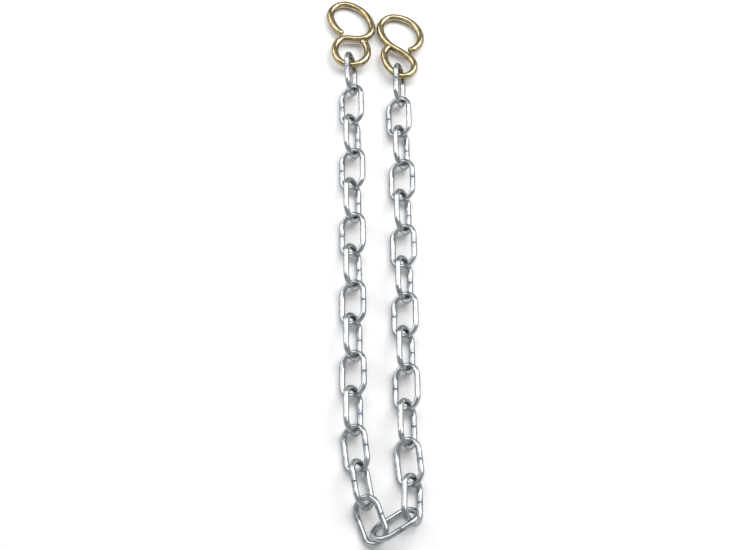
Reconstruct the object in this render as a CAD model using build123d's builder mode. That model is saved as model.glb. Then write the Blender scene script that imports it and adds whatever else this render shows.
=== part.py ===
from build123d import *
import os
from math import asin, cos, radians, sin

# A trailer safety chain: one run of welded links with an S-hook on each end.
# It lies on the floor in a narrow U, its two open ends and their hooks at +Y.
# Millimetres, +Z up from the floor. The origin is on the floor, below the middle of the laid chain.

# Chain links
link_wire = 4.76                # 3/16 in round wire
link_inside_length = 34.1
link_inside_width = 16.0
crown_radius = (link_inside_width + link_wire) / 2      # centreline of a link's round end
half_side = (link_inside_length + link_wire) / 2 - crown_radius      # half a link's straight side

# S-hooks
hook_wire = 6.35                # 1/4 in round wire
end_straight = 1.2              # the last of the wire, left straight by the bending tool
end_break = 0.4                 # chamfer on the sawn ends
hook_length = 70.0
loop_height = 8.9               # wire centre at the small loop, held up by the first link's low side
hook_tilt = asin((loop_height - hook_wire / 2) / hook_length)

# The laid strands. Links are numbered from 1 at the hook, and the link at the bend is the 15th.
# Even links lean on their left long side, and odd ones on their right.
laid_pitch = 33.08              # a little under the inside length, so the strands lie slack
middle_link = 7                 # of the straight runs, links 3 to 11
first_run_link, last_run_link = 3, 11
even_lean, even_lean_step = 29.0, 0.3
odd_lean, odd_lean_step = 59.0, -0.4
even_lift = 1.2                 # even links rest on their neighbours, clear of the floor
bend_number = 15

# Where the middle link of each run lies (x, y), and the strand's heading in degrees from -Y towards +X
left_run = (-19.5, -20.3, 0.56)
right_run = (24.6, -32.0, 0.61)

# The links by the hooks and round the bend: x, y, heading, lean, lift
left_ends = {
    1: (-22.3, 179.0, 2, 72, 0),
    2: (-21.5, 145.6, 1, 33, 1.8),
    12: (-16.3, -185.5, 7, 34, 0),
    13: (-10.8, -217.0, 9.5, 54.5, 1.6),
    14: (-3.7, -245.7, 19.5, 32.5, 0),
}
right_ends = {
    1: (21.9, 166.4, 0, 72, 0),
    2: (21.2, 133.3, 1, 30.5, 1.3),
    12: (26.9, -196.9, 6, 30, 0.2),
    13: (29.3, -228.9, -1, 53, 0),
}
bend_link = (15.5, -249.8, 123, 41, 1.4)

# Each hook lies in a plane that rises from its far end, at far_y, to its small loop.
# In it the wire starts at the big loop's open end and follows tangent bends: radius, and turn
# in degrees to the left. The right hook is of the left one's kind, turned over.
left_hook = {
    "far_y": 263.7,
    "start": (-31.2, -36.0),
    "heading": 133,
    "bends": [(39.5, -32.5), (13, -119.5), (32.5, -66.5), (12.5, -92), (36, -14),
              (11, 85.5), (21, 51), (14.5, 134.5), (21, 41.2)],
}
right_hook = {
    "far_y": 248.8,
    "start": (31.1, -41.2),
    "heading": 24.6,
    "bends": [(17, 71.9), (26.5, 75.5), (13, 103.5), (33, 50), (73, -15),
              (12.5, -92.5), (9.5, -81), (33.5, -43.5), (11.5, -41)],
}


def link_plane(number, x, y, heading, lean, lift):
    """The plane of a laid link: its x runs along the strand, its y up across the link."""
    turn, tip = radians(heading), radians(lean)
    along = Vector(sin(turn), -cos(turn), 0)
    high_side = 1 if number % 2 == 0 else -1
    across = Vector(cos(turn), sin(turn), 0) * (high_side * cos(tip)) + Vector(0, 0, sin(tip))
    height = link_wire / 2 + crown_radius * sin(tip) + lift
    return Plane(origin=(x, y, height), x_dir=along, z_dir=along.cross(across))


def run_place(run, number):
    """Place, heading, lean and lift of one link in a straight run."""
    x, y, heading = run
    steps = number - middle_link
    x += laid_pitch * steps * sin(radians(heading))
    y -= laid_pitch * steps * cos(radians(heading))
    if number % 2 == 0:
        return x, y, heading, even_lean + even_lean_step * steps, even_lift
    return x, y, heading, odd_lean + odd_lean_step * steps, 0


def make_link(name, number, place):
    """One link: round wire bent into a long ring, its ends welded in the middle of a long side."""
    with BuildPart() as link:
        with BuildLine(link_plane(number, *place)) as ring:
            weld = Line((0, -crown_radius), (half_side, -crown_radius))
            CenterArc((half_side, 0), crown_radius, -90, 180)
            Line((half_side, crown_radius), (-half_side, crown_radius))
            CenterArc((-half_side, 0), crown_radius, 90, 180)
            Line((-half_side, -crown_radius), (0, -crown_radius))
        with BuildSketch(Plane(origin=weld @ 0, z_dir=weld % 0)):
            Circle(link_wire / 2)
        sweep()
    link.part.label = name
    export_step(link.part, f"parts/{name}.step")


def make_hook(name, far_y, start, heading, bends):
    """One S-hook: round wire bent in one plane, both ends sawn square."""
    upward = (0, sin(hook_tilt), cos(hook_tilt))
    plane = Plane(origin=(0, far_y, hook_wire / 2), x_dir=(1, 0, 0), z_dir=upward)
    with BuildPart() as hook:
        with BuildLine(plane) as bent_wire:
            stretch = PolarLine(start, end_straight, angle=heading)
            for radius, turn in bends:
                stretch = JernArc(stretch @ 1, stretch % 1, radius, turn)
            PolarLine(stretch @ 1, end_straight, direction=stretch % 1)
        wire_start = bent_wire.wires()[0]
        with BuildSketch(Plane(origin=wire_start @ 0, z_dir=wire_start % 0)):
            Circle(hook_wire / 2)
        sweep()
        chamfer(hook.faces().filter_by(GeomType.PLANE).edges(), end_break)
    hook.part.label = name
    export_step(hook.part, f"parts/{name}.step")


def make_strand(side, run, ends):
    """Every link of one strand, from its hook to the bend."""
    for number in sorted([*range(first_run_link, last_run_link + 1), *ends]):
        place = ends.get(number) or run_place(run, number)
        make_link(f"{side}_link_{number:02}", number, place)


os.makedirs("parts", exist_ok=True)
make_strand("left", left_run, left_ends)
make_strand("right", right_run, right_ends)
make_link("bottom_link", bend_number, bend_link)
make_hook("left_s_hook", **left_hook)
make_hook("right_s_hook", **right_hook)
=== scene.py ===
"""Looks for the trailer safety chain: plated wire links and S-hooks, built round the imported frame."""

import math
import random

import bpy
import numpy as np
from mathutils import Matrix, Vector


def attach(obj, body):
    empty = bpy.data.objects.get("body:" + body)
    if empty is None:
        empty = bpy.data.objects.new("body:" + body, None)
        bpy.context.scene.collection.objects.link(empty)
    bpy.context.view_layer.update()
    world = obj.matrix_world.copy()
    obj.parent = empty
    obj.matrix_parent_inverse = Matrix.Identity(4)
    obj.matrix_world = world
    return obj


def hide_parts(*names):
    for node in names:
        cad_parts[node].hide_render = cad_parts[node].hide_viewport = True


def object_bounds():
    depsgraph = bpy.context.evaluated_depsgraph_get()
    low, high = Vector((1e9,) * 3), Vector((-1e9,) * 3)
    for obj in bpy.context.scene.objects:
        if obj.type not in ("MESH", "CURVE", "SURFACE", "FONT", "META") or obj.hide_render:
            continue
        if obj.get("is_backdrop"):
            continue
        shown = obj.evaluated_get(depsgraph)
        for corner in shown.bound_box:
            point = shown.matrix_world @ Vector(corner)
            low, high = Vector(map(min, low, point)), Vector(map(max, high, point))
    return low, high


MM = 0.001


# ---------------------------------------------------------------- the wire forms, read from the frame

def node_mesh(node):
    """Vertex places and normals of a CAD node, and the centre and weight of each of its faces."""
    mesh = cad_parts[node].data
    count = len(mesh.vertices)
    points = np.zeros(count * 3)
    normals = np.zeros(count * 3)
    mesh.vertices.foreach_get("co", points)
    mesh.vertices.foreach_get("normal", normals)
    faces = len(mesh.polygons)
    centres = np.zeros(faces * 3)
    areas = np.zeros(faces)
    mesh.polygons.foreach_get("center", centres)
    mesh.polygons.foreach_get("area", areas)
    return points.reshape(-1, 3), normals.reshape(-1, 3), centres.reshape(-1, 3), areas


def main_axes(node):
    """Centre of a node's surface and its long, middle and short directions."""
    _, _, centres, areas = node_mesh(node)
    middle = (centres * areas[:, None]).sum(0) / areas.sum()
    spread = centres - middle
    _, directions = np.linalg.eigh((spread * areas[:, None]).T @ spread)
    return middle, directions[:, 2], directions[:, 1], directions[:, 0]


def tube_mesh(name, rings, uvs, closed):
    """A mesh from rings of points round a wire. An open one gets a flat face on each end."""
    count, around = rings.shape[:2]
    faces = []
    corners = []
    steps = count if closed else count - 1
    for i in range(steps):
        ahead = (i + 1) % count
        for j in range(around):
            side = (j + 1) % around
            faces.append((i * around + j, ahead * around + j, ahead * around + side, i * around + side))
            low, high = uvs[i], uvs[i + 1]
            left, right = j / around, (j + 1) / around
            corners += [(low, left), (high, left), (high, right), (low, right)]
    if not closed:
        last = (count - 1) * around
        faces.append(tuple(range(around)))
        faces.append(tuple(last + j for j in reversed(range(around))))
        corners += [(uvs[0], 0.5)] * around + [(uvs[-1], 0.5)] * around
    mesh = bpy.data.meshes.new(name)
    mesh.from_pydata(rings.reshape(-1, 3).tolist(), [], faces)
    layer = mesh.uv_layers.new(name="wire")
    layer.data.foreach_set("uv", np.array(corners, float).ravel())
    mesh.polygons.foreach_set("use_smooth", [True] * len(faces))
    mesh.update()
    if not closed:
        for edge in mesh.edges:
            first, second = edge.vertices
            both_low = max(first, second) < around
            both_high = min(first, second) >= last
            edge.use_edge_sharp = both_low or both_high
    piece = bpy.data.objects.new(name, mesh)
    bpy.context.scene.collection.objects.link(piece)
    return piece


# ---------------------------------------------------------------- links

def link_path(along, length, half_side, crown):
    """Place and outward direction, in a link's plane, at a distance along its wire from mid-side."""
    along = along % length
    arc = math.pi * crown
    if along < half_side:
        return (along, crown), (0, 1)
    if along < half_side + arc:
        turn = math.pi / 2 - (along - half_side) / crown
        out = (math.cos(turn), math.sin(turn))
        return (half_side + crown * out[0], crown * out[1]), out
    if along < 3 * half_side + arc:
        return (2 * half_side + arc - along, -crown), (0, -1)
    if along < 3 * half_side + 2 * arc:
        turn = -math.pi / 2 - (along - 3 * half_side - arc) / crown
        out = (math.cos(turn), math.sin(turn))
        return (-half_side + crown * out[0], crown * out[1]), out
    return (along - length, crown), (0, 1)


def build_link(node, seam_high, draw):
    """One welded link on its CAD node's centreline, with the seam in the middle of one long side."""
    middle, long_way, wide_way, thin_way = main_axes(node)
    points = node_mesh(node)[0] - middle
    radius = np.abs(points @ thin_way).max()
    crown = np.abs(points @ wide_way).max() - radius
    half_side = np.abs(points @ long_way).max() - radius - crown
    length = 4 * half_side + 2 * math.pi * crown
    if (wide_way[2] > 0) != seam_high:
        wide_way = -wide_way
    thin_way = np.cross(long_way, wide_way)

    plain = np.arange(SEAM_REACH, length - SEAM_REACH, RING_STEP)
    seam = np.arange(-SEAM_REACH, SEAM_REACH, SEAM_STEP)
    stations = np.concatenate([seam, plain])
    around = np.arange(LINK_SIDES) * 2 * math.pi / LINK_SIDES
    slip_way = draw.uniform(0, 2 * math.pi)
    slip = draw.uniform(0.4, 1.0) * SEAM_SLIP
    flash = 1 + 0.5 * np.sin(around * 2 + draw.uniform(0, 6)) * draw.uniform(0.3, 1)
    grip_side = draw.uniform(-0.5, 0.5)
    rings = []
    for station in stations:
        near = station if station < length / 2 else station - length
        (x, y), (out_x, out_y) = link_path(station, length, half_side, crown)
        out = out_x * long_way + out_y * wide_way
        sway = np.sign(near + 1e-9) * slip * math.exp(-abs(near) / SLIP_FADE)
        size = np.full(LINK_SIDES, radius)
        size -= SEAM_DEPTH * math.exp(-((near / SEAM_WIDTH) ** 2))
        size += FLASH_HEIGHT * flash * math.exp(-(((abs(near) - FLASH_PLACE) / FLASH_WIDTH) ** 2))
        grip = math.exp(-(((abs(near) - GRIP_PLACE) / GRIP_LENGTH) ** 2))
        turned = (around - grip_side + math.pi) % (2 * math.pi) - math.pi
        size -= GRIP_DEPTH * grip * np.exp(-((turned / GRIP_SPREAD) ** 2))
        centre = middle + x * long_way + y * wide_way
        centre = centre + sway * (math.cos(slip_way) * out + math.sin(slip_way) * thin_way)
        spokes = np.cos(around)[:, None] * out + np.sin(around)[:, None] * thin_way
        rings.append(centre + size[:, None] * spokes)
    uvs = list(stations / MM) + [length / MM - SEAM_REACH / MM]
    piece = tube_mesh(node + "_wire", np.array(rings), uvs, closed=True)
    near_seam = np.repeat(np.minimum(np.abs(stations), length - stations), LINK_SIDES)
    mark = piece.data.attributes.new("weld", "FLOAT", "POINT")
    mark.data.foreach_set("value", np.exp(-((near_seam / WELD_TINT_REACH) ** 2)))
    return piece


# ---------------------------------------------------------------- S-hooks

def ring_centres(node, radius):
    """Centres of the rings of vertices round a bent wire, each vertex a radius out along its normal."""
    points, normals, _, _ = node_mesh(node)
    guesses = points - radius * normals
    centres = []
    left = np.ones(len(guesses), bool)
    for i in range(len(guesses)):
        if not left[i]:
            continue
        same = left & (np.linalg.norm(guesses - guesses[i], axis=1) < RING_SLACK)
        left[same] = False
        if same.sum() >= RING_VERTICES:
            centres.append(guesses[same].mean(0))
    return np.array(centres)


def in_order(centres):
    """The ring centres in order along the wire, found by walking both ways from one of them."""
    left = list(range(1, len(centres)))
    runs = []
    for _ in range(2):
        run = [0]
        while left:
            gaps = [np.linalg.norm(centres[k] - centres[run[-1]]) for k in left]
            nearest = int(np.argmin(gaps))
            if gaps[nearest] > RING_REACH:
                break
            run.append(left.pop(nearest))
        runs.append(run)
    return centres[runs[1][::-1][:-1] + runs[0]]


def hook_line(node, radius):
    """Evenly spaced points along a hook's wire, from end to end."""
    knots = in_order(ring_centres(node, radius))
    points = node_mesh(node)[0]
    ends = []
    for end, inner in ((knots[0], knots[1]), (knots[-1], knots[-2])):
        way = (end - inner) / np.linalg.norm(end - inner)
        close = points[np.linalg.norm(points - end, axis=1) < END_REACH * radius]
        ends.append(end + way * ((close - end) @ way).max())
    knots = np.vstack([ends[0], knots, ends[1]])
    keep = [0]
    for i in range(1, len(knots)):
        if np.linalg.norm(knots[i] - knots[keep[-1]]) > KNOT_GAP:
            keep.append(i)
    return smooth_line(knots[keep], HOOK_STEP)


def smooth_line(knots, step):
    """Points a step apart on the smooth curve through the knots."""
    padded = np.vstack([2 * knots[0] - knots[1], knots, 2 * knots[-1] - knots[-2]])
    fine = []
    for i in range(1, len(padded) - 2):
        a, b, c, d = padded[i - 1:i + 3]
        gaps = [max(np.linalg.norm(q - p), 1e-9) ** 0.5 for p, q in ((a, b), (b, c), (c, d))]
        start = (b - a) / gaps[0] - (c - a) / (gaps[0] + gaps[1]) + (c - b) / gaps[1]
        end = (c - b) / gaps[1] - (d - b) / (gaps[1] + gaps[2]) + (d - c) / gaps[2]
        start, end = start * gaps[1], end * gaps[1]
        for t in np.arange(0, 1, 0.1):
            square, cube = t * t, t * t * t
            fine.append((2 * cube - 3 * square + 1) * b + (cube - 2 * square + t) * start
                        + (3 * square - 2 * cube) * c + (cube - square) * end)
    fine.append(knots[-1])
    fine = np.array(fine)
    run = np.concatenate([[0], np.cumsum(np.linalg.norm(np.diff(fine, axis=0), axis=1))])
    stations = np.linspace(0, run[-1], int(run[-1] / step) + 1)
    return np.stack([np.interp(stations, run, fine[:, axis]) for axis in range(3)], 1), stations


def build_hook(node, draw):
    """One S-hook on its CAD node's centreline, with sawn ends and the marks of the bending tool."""
    flat_way = main_axes(node)[3]
    radius = np.ptp(node_mesh(node)[0] @ flat_way) / 2
    line, stations = hook_line(node, radius)
    ways = np.gradient(line, axis=0)
    ways /= np.linalg.norm(ways, axis=1)[:, None]
    bend = np.linalg.norm(np.gradient(ways, axis=0), axis=1) / HOOK_STEP
    inward = np.gradient(ways, axis=0)
    around = np.arange(HOOK_SIDES) * 2 * math.pi / HOOK_SIDES
    length = stations[-1]
    phase = draw.uniform(0, 6)
    rings = []
    for i, station in enumerate(stations):
        side = np.cross(flat_way, ways[i])
        from_end = min(station, length - station)
        size = np.full(HOOK_SIDES, radius)
        inner = np.sign(inward[i] @ side)
        inner_face = np.clip(np.cos(around) * inner, 0, 1)
        squash = min(bend[i] * radius, SHARPEST_BEND) * BEND_SQUASH
        size -= squash * inner_face ** 4
        size -= HOOK_RIPPLE * (0.5 + 0.5 * np.sin(station / MM * RIPPLE_RATE + phase)) * inner_face
        size -= END_BREAK * max(0, 1 - from_end / END_BREAK)
        spokes = np.cos(around)[:, None] * side + np.sin(around)[:, None] * flat_way
        rings.append(line[i] + size[:, None] * spokes)
    return tube_mesh(node + "_wire", np.array(rings), list(stations / MM), closed=False)


# ---------------------------------------------------------------- materials

def new_material(name):
    """A material, its node tree and its Principled shader."""
    material = bpy.data.materials.new(name)
    material.use_nodes = True
    tree = material.node_tree
    return material, tree, tree.nodes["Principled BSDF"]


def add(tree, kind, inputs=None, **settings):
    """A node of a kind, with its settings and with its inputs set or linked."""
    node = tree.nodes.new(kind)
    for key, value in settings.items():
        setattr(node, key, value)
    for key, value in (inputs or {}).items():
        if isinstance(value, bpy.types.NodeSocket):
            tree.links.new(value, node.inputs[key])
        else:
            node.inputs[key].default_value = value
    return node


def ramp(tree, source, stops):
    """A colour that changes with a value, through stops of a place and a colour each."""
    node = add(tree, "ShaderNodeValToRGB", {"Fac": source})
    bands = node.color_ramp
    while len(bands.elements) < len(stops):
        bands.elements.new(0.5)
    for element, (place, colour) in zip(bands.elements, stops):
        element.position = place
        element.color = (*colour, 1)
    return node.outputs["Color"]


def fade(tree, value, start, end, low, high):
    """A value that runs from low to high as the source runs from start to end."""
    return add(tree, "ShaderNodeMapRange", {"Value": value, "From Min": start, "From Max": end,
                                            "To Min": low, "To Max": high}).outputs["Result"]


def noise(tree, place, scale, detail, roughness):
    """A cloudy value over the surface."""
    return add(tree, "ShaderNodeTexNoise", {"Vector": place, "Scale": scale, "Detail": detail,
                                            "Roughness": roughness}).outputs["Fac"]


def draw_lines(tree):
    """Fine lines that the drawing die leaves along the wire."""
    uv = add(tree, "ShaderNodeUVMap", uv_map="wire").outputs["UV"]
    stretched = add(tree, "ShaderNodeMapping", {"Vector": uv, "Scale": LINE_STRETCH}).outputs["Vector"]
    return noise(tree, stretched, 1.0, 3.0, 0.6)


def bump(tree, height, depth, below=None):
    """A relief of a depth, over another one if there is one below."""
    inputs = {"Height": height, "Strength": 1.0, "Distance": depth}
    if below:
        inputs["Normal"] = below
    return add(tree, "ShaderNodeBump", inputs).outputs["Normal"]


def plate(name, colours, roughness, line_depth, weld_colour=None):
    """Plated steel wire: mottled plate over faint draw lines, and rough round a weld."""
    material, tree, shader = new_material(name)
    place = add(tree, "ShaderNodeTexCoord").outputs["Object"]
    colour = ramp(tree, noise(tree, place, CLOUD_SCALE, 4.0, 0.6), colours)
    gloss = fade(tree, noise(tree, place, GLOSS_SCALE, 3.0, 0.6), 0.3, 0.7, *roughness)
    relief = bump(tree, draw_lines(tree), line_depth)
    if weld_colour:
        weld = add(tree, "ShaderNodeAttribute", attribute_name="weld", attribute_type="GEOMETRY")
        mark = weld.outputs["Fac"]
        crust = noise(tree, place, CRUST_SCALE, 3.0, 0.65)
        patchy = fade(tree, crust, 0.42, 0.58, 0.25, 1.0)
        worn = add(tree, "ShaderNodeMath", {0: mark, 1: patchy}, operation="MULTIPLY").outputs["Value"]
        colour = add(tree, "ShaderNodeMix", {"Factor": worn, "A": colour, "B": (*weld_colour, 1)},
                     data_type="RGBA").outputs["Result"]
        gloss = add(tree, "ShaderNodeMath", {0: worn, 1: WELD_DULLING, 2: gloss},
                    operation="MULTIPLY_ADD").outputs["Value"]
        height = add(tree, "ShaderNodeMath", {0: mark, 1: crust}, operation="MULTIPLY").outputs["Value"]
        relief = bump(tree, height, WELD_CRUST, relief)
    tree.links.new(colour, shader.inputs["Base Color"])
    tree.links.new(gloss, shader.inputs["Roughness"])
    tree.links.new(relief, shader.inputs["Normal"])
    shader.inputs["Metallic"].default_value = 1.0
    shader.inputs["Specular Tint"].default_value = (EDGE_TINT, EDGE_TINT, EDGE_TINT, 1)
    return material


# ---------------------------------------------------------------- studio

def make_floor(lowest):
    """A plain pale floor that the chain lies on."""
    mesh = bpy.data.meshes.new("studio_floor")
    corners = [(x * FLOOR_REACH, y * FLOOR_REACH, lowest) for x, y in ((-1, -1), (1, -1), (1, 1), (-1, 1))]
    mesh.from_pydata(corners, [], [(0, 1, 2, 3)])
    floor = bpy.data.objects.new("studio_floor", mesh)
    bpy.context.scene.collection.objects.link(floor)
    material, _, shader = new_material("floor_white")
    shader.inputs["Base Color"].default_value = (*FLOOR_COLOUR, 1)
    shader.inputs["Roughness"].default_value = FLOOR_ROUGHNESS
    mesh.materials.append(material)
    floor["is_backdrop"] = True


def make_world():
    """An even, pale room round the object."""
    world = bpy.data.worlds.new("studio")
    bpy.context.scene.world = world
    world.use_nodes = True
    room = world.node_tree.nodes["Background"]
    room.inputs["Color"].default_value = (*ROOM_COLOUR, 1)
    room.inputs["Strength"].default_value = ROOM_STRENGTH


def make_light(name, place, size, power, colour):
    """A soft rectangular light that faces the middle of the chain."""
    light = bpy.data.lights.new(name, "AREA")
    light.shape = "RECTANGLE"
    light.size, light.size_y = size
    light.energy = power
    light.color = colour
    holder = bpy.data.objects.new(name, light)
    holder.location = place
    holder.rotation_euler = (-Vector(place)).to_track_quat("-Z", "Y").to_euler()
    bpy.context.scene.collection.objects.link(holder)


def make_camera():
    """A camera above the near end of the chain, looking down and away."""
    camera = bpy.data.cameras.new("camera")
    camera.lens = CAMERA_LENS
    camera.sensor_width = CAMERA_SENSOR
    holder = bpy.data.objects.new("camera", camera)
    holder.location = CAMERA_PLACE
    holder.rotation_euler = (math.radians(CAMERA_TILT), 0, 0)
    bpy.context.scene.collection.objects.link(holder)
    bpy.context.scene.camera = holder


# ---------------------------------------------------------------- sizes of the details

RING_STEP = 0.9 * MM            # between rings along a link
SEAM_REACH = 2.0 * MM           # the seam's finer rings reach this far each way
SEAM_STEP = 0.125 * MM
LINK_SIDES = 28
SEAM_DEPTH = 0.5 * MM
SEAM_WIDTH = 0.28 * MM
SEAM_SLIP = 0.2 * MM            # how far the two wire ends miss each other
SLIP_FADE = 4 * MM
FLASH_HEIGHT = 0.09 * MM
FLASH_PLACE = 0.6 * MM
FLASH_WIDTH = 0.32 * MM
GRIP_PLACE = 5.5 * MM           # the welder's grips press here, each side of the seam
GRIP_LENGTH = 1.7 * MM
GRIP_DEPTH = 0.05 * MM
GRIP_SPREAD = 0.5
WELD_TINT_REACH = 4.5 * MM
WELD_CRUST = 0.12 * MM
RING_SLACK = 0.5 * MM           # vertices of one CAD ring guess its centre this closely
RING_VERTICES = 8               # and there are at least this many of them
RING_REACH = 5 * MM             # the next ring along the wire is nearer than this
KNOT_GAP = 0.2 * MM
END_REACH = 1.05                # a hook's end face lies this close to its last ring, in wire radii
HOOK_STEP = 0.7 * MM
HOOK_SIDES = 36
BEND_SQUASH = 0.25 * MM
SHARPEST_BEND = 0.4             # past this bend, wire radius over bend radius, the squash grows no more
HOOK_RIPPLE = 0.03 * MM
RIPPLE_RATE = 0.9               # radians a millimetre
END_BREAK = 0.4 * MM

LINE_STRETCH = (0.05, 60, 1)    # draw lines are long along the wire and fine round it
CLOUD_SCALE = 220.0
GLOSS_SCALE = 900.0
CRUST_SCALE = 650.0
WELD_DULLING = 0.2              # roughness that a weld adds

ROOM_COLOUR = (0.95, 0.97, 1.0)
ROOM_STRENGTH = 0.45
FLOOR_COLOUR = (0.93, 0.93, 0.93)
FLOOR_ROUGHNESS = 0.9
FLOOR_REACH = 5.0
CAMERA_LENS = 75.7              # millimetres, as is the sensor
CAMERA_SENSOR = 36
CAMERA_PLACE = (-0.0003, -0.6500, 1.206)
CAMERA_TILT = 27.5              # degrees up from straight down
ZINC_CLOUDS = [(0.4, (0.38, 0.40, 0.42)), (0.6, (0.56, 0.575, 0.575))]
ZINC_ROUGHNESS = (0.18, 0.27)
ZINC_LINES = 0.003 * MM
WELD_COLOUR = (0.22, 0.24, 0.29)
GOLD_CLOUDS = [(0.3, (0.30, 0.23, 0.115)), (0.52, (0.48, 0.39, 0.23)), (0.75, (0.66, 0.58, 0.42))]
GOLD_ROUGHNESS = (0.07, 0.12)
GOLD_LINES = 0.002 * MM
EDGE_TINT = 0.15                # plated wire dulls where it is seen edge on

# The links whose seam is on the raised side; the rest have it on the low one.
HIGH_SEAMS = ["left_link_01", "left_link_08", "left_link_10", "left_link_12", "left_link_13", "left_link_14",
              "right_link_01", "right_link_04", "right_link_06", "right_link_12", "bottom_link"]

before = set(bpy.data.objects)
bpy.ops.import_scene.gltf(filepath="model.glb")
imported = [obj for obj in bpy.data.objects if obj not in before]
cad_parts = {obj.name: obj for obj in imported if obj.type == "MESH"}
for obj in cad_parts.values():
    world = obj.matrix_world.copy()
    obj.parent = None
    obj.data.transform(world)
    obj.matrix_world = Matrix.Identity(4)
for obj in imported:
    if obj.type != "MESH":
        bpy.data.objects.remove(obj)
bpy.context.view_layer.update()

make_camera()
make_floor(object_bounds()[0][2])
make_world()
make_light("key", (1.15, 0.7, 1.5), (1.4, 1.4), 28, (1.0, 0.99, 0.96))
make_light("left_card", (-1.2, 0.8, 0.9), (1.2, 1.2), 9, (0.98, 0.98, 1.0))
make_light("overhead", (-0.1, 0.9, 1.8), (1.4, 1.0), 12, (1.0, 1.0, 1.0))

zinc = plate("bright_zinc", ZINC_CLOUDS, ZINC_ROUGHNESS, ZINC_LINES, WELD_COLOUR)
gold = plate("yellow_zinc", GOLD_CLOUDS, GOLD_ROUGHNESS, GOLD_LINES)

draw = random.Random(7)
for node in sorted(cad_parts):
    if "hook" in node:
        piece, material, slot = build_hook(node, draw), gold, "yellow_zinc"
    else:
        piece, material, slot = build_link(node, node in HIGH_SEAMS, draw), zinc, "bright_zinc"
    piece.data.materials.append(material)
    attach(piece, node)
    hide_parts(node)

bpy.context.scene.view_settings.view_transform = "Standard"


def plain(bounds):
    """Bounds as plain lists of numbers."""
    return [[float(value) for value in corner] for corner in bounds]
